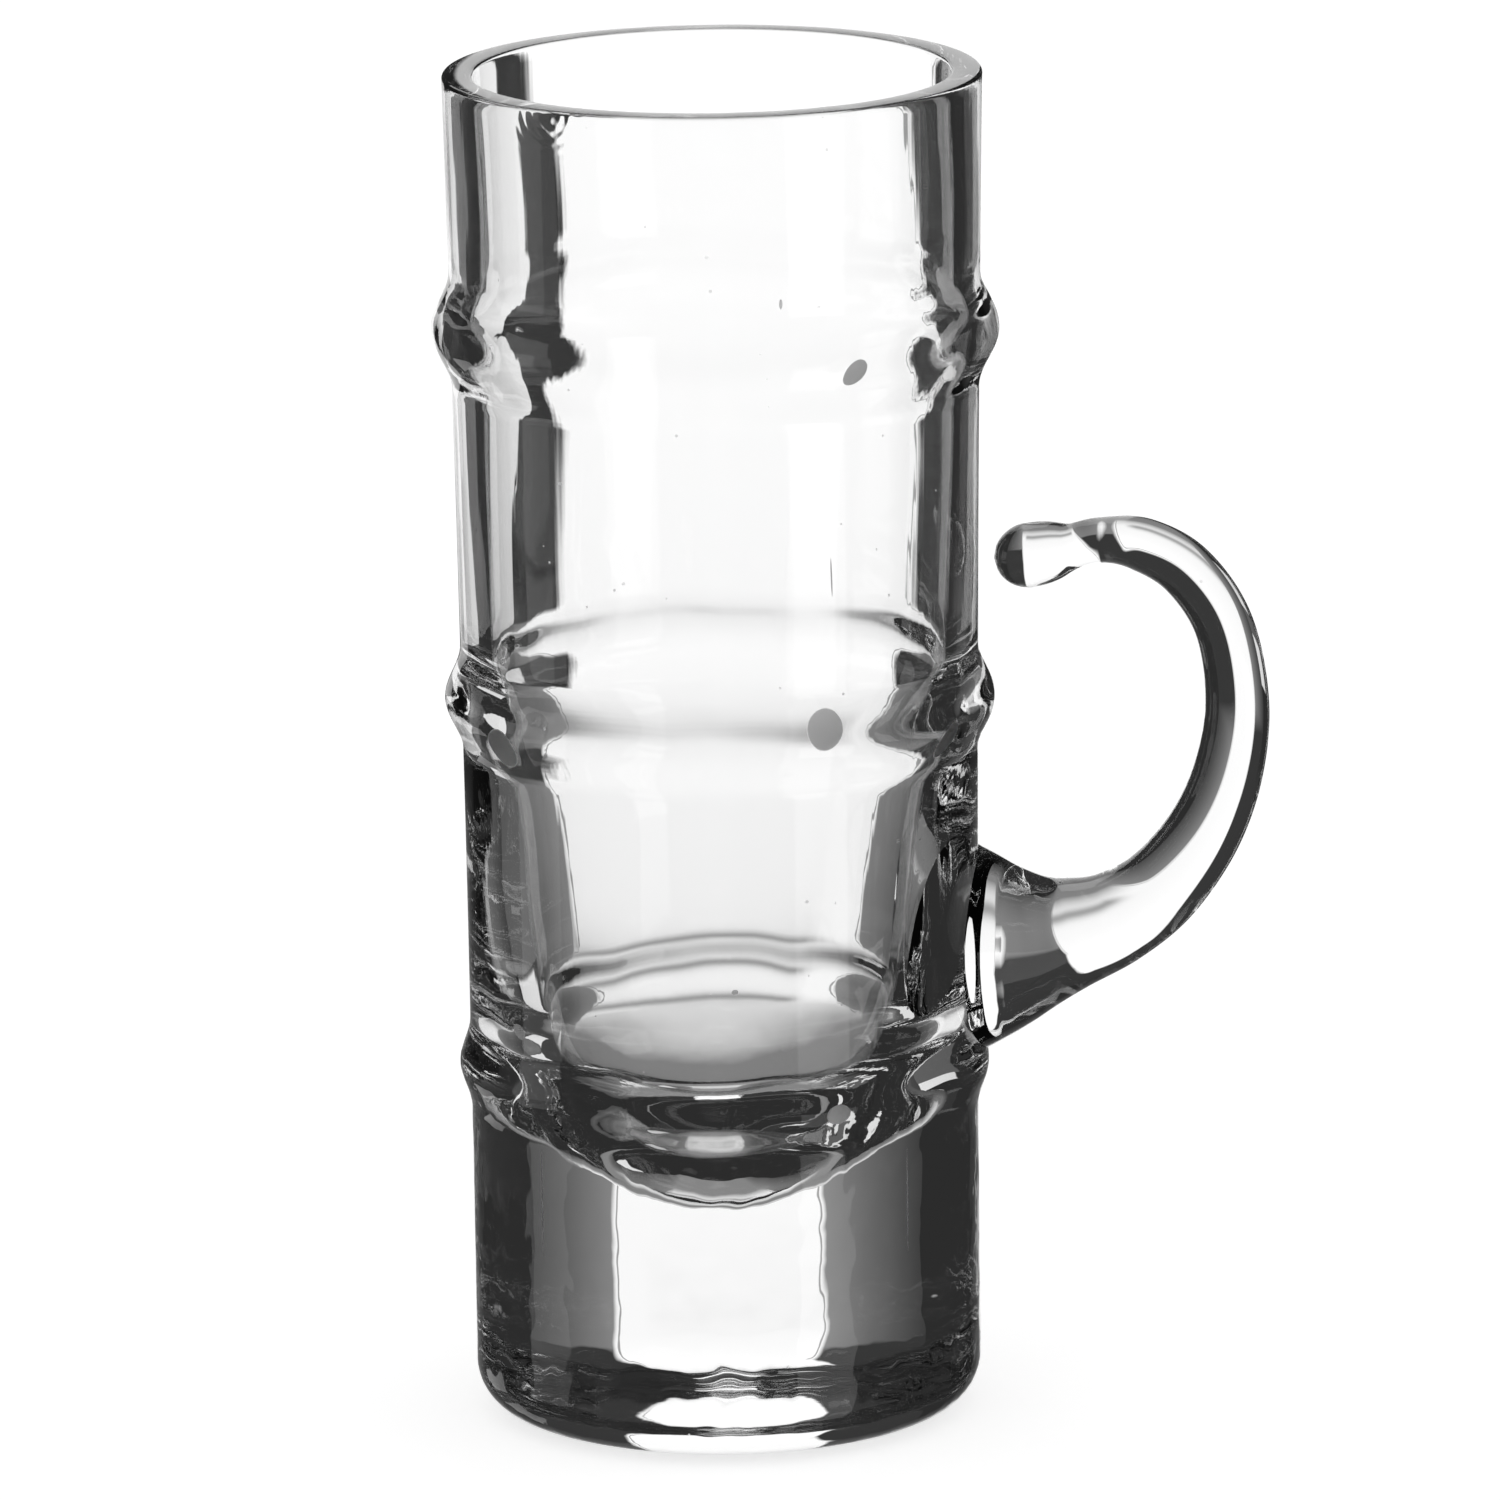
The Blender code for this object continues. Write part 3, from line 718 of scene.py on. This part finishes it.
STRIP_LEFT = -0.004
STRIP_LEFT_LEAN = 0.27
STRIP_LEFT_SOFT = 0.001
STRIP_RIGHT = 0.017
STRIP_RIGHT_LEAN = 0.155
STRIP_RIGHT_SOFT = 0.0006
STRIP_BEND = 0.011
STRIP_LIGHT = 1.02
STRIP_FALL = -5.5
side_card = studio_plane("side_card", 0.050, 0.080, Matrix.Translation((-0.050, 0.060, 0.114)))
side = bare_material(side_card)
across, upward = card_place(side)
drop = calc(side, "MAXIMUM", calc(side, "SUBTRACT", STRIP_BEND, upward), 0.0)
left_across = calc(side, "MULTIPLY_ADD", drop, STRIP_LEFT_LEAN, across)
right_across = calc(side, "MULTIPLY_ADD", drop, STRIP_RIGHT_LEAN, across)
strip = calc(side, "MULTIPLY", span(side, left_across, STRIP_LEFT, PAST_CARD, STRIP_LEFT_SOFT),
             span(side, right_across, -PAST_CARD, STRIP_RIGHT, STRIP_RIGHT_SOFT))
strip_light = calc(side, "MULTIPLY", strip, calc(side, "MULTIPLY_ADD", drop, STRIP_FALL, STRIP_LIGHT))
light_card(side_card, side, calc(side, "MAXIMUM", strip_light, CARD_DARK), strip)


FAR_EDGE = 0.47
FAR_SOFT = 0.03


def far_card(name, turn, away, width, low, high, level):
    """A soft white card standing away from the glass on one side, turned to face it."""
    angle = math.radians(turn)
    height = high - low
    place = Matrix.Translation((away * math.sin(angle), -away * math.cos(angle), (low + high) / 2))
    card = studio_plane(name, width, height, place @ Matrix.Rotation(angle, 4, "Z"))
    tree = bare_material(card)
    across, upward = card_place(tree)
    shown = calc(tree, "MULTIPLY",
                 span(tree, across, -width * FAR_EDGE, width * FAR_EDGE, width * FAR_SOFT),
                 span(tree, upward, -height * FAR_EDGE, height * FAR_EDGE, height * FAR_SOFT))
    light_card(card, tree, calc(tree, "MULTIPLY", shown, level), shown)


far_card("left_card", 270.0, 1.3, 0.62, -0.09, 0.40, 0.8)
far_card("left_middle_card", 270.0, 1.32, 0.62, -0.20, -0.08, 0.5)
far_card("left_low_card", 270.0, 1.3, 0.62, -0.46, -0.19, 0.6)
far_card("left_back_card", 225.0, 1.3, 0.50, -0.54, -0.36, 0.85)
far_card("left_back_middle_card", 225.0, 1.32, 0.70, -0.74, -0.52, 0.13)
far_card("left_back_low_card", 225.0, 1.3, 0.50, -1.20, -0.72, 0.8)
far_card("right_front_card", 45.0, 1.3, 0.62, -0.80, 0.06, 0.9)

ROOM_DARK = 0.025
ROOM_FILL = 0.4
world = bpy.data.worlds.new("studio")
bpy.context.scene.world = world
world.use_nodes = True
room = world.node_tree
room.nodes.clear()
room_ray = put(room, "ShaderNodeLightPath").outputs
fill = calc(room, "MULTIPLY", room_ray["Is Diffuse Ray"], ROOM_FILL)
room_light = calc(room, "MAXIMUM", calc(room, "MAXIMUM", room_ray["Is Camera Ray"], fill), ROOM_DARK)
room_glow = put(room, "ShaderNodeBackground", {"Strength": room_light, "Color": (1.0, 1.0, 1.0, 1.0)})
put(room, "ShaderNodeOutputWorld", {"Surface": room_glow.outputs[0]})


# Camera: a long lens about 1.6 m away and 0.28 m above the rim, looking down at the glass and leaning by
# less than a degree. Light may cross the glass many times before it is given up.
CAMERA_PLACE = (0.00343, -1.584, 0.4393)
CAMERA_DOWN = 12.82
CAMERA_LEAN = -0.0131
CAMERA_LENS = 331.5
GLASS_BOUNCES = 40
camera_data = bpy.data.cameras.new("camera")
camera_data.lens = CAMERA_LENS
camera_data.sensor_width = 36.0
camera_data.clip_start = 0.1
camera_data.clip_end = 100.0
camera = bpy.data.objects.new("camera", camera_data)
camera.matrix_world = (Matrix.Translation(CAMERA_PLACE)
                       @ Matrix.Rotation(math.radians(90.0 - CAMERA_DOWN), 4, "X")
                       @ Matrix.Rotation(CAMERA_LEAN, 4, "Z"))
bpy.context.collection.objects.link(camera)
bpy.context.scene.camera = camera
bpy.context.scene.view_settings.view_transform = "Standard"
bpy.context.scene.cycles.max_bounces = GLASS_BOUNCES
bpy.context.scene.cycles.transmission_bounces = GLASS_BOUNCES
bpy.context.scene.cycles.glossy_bounces = 12
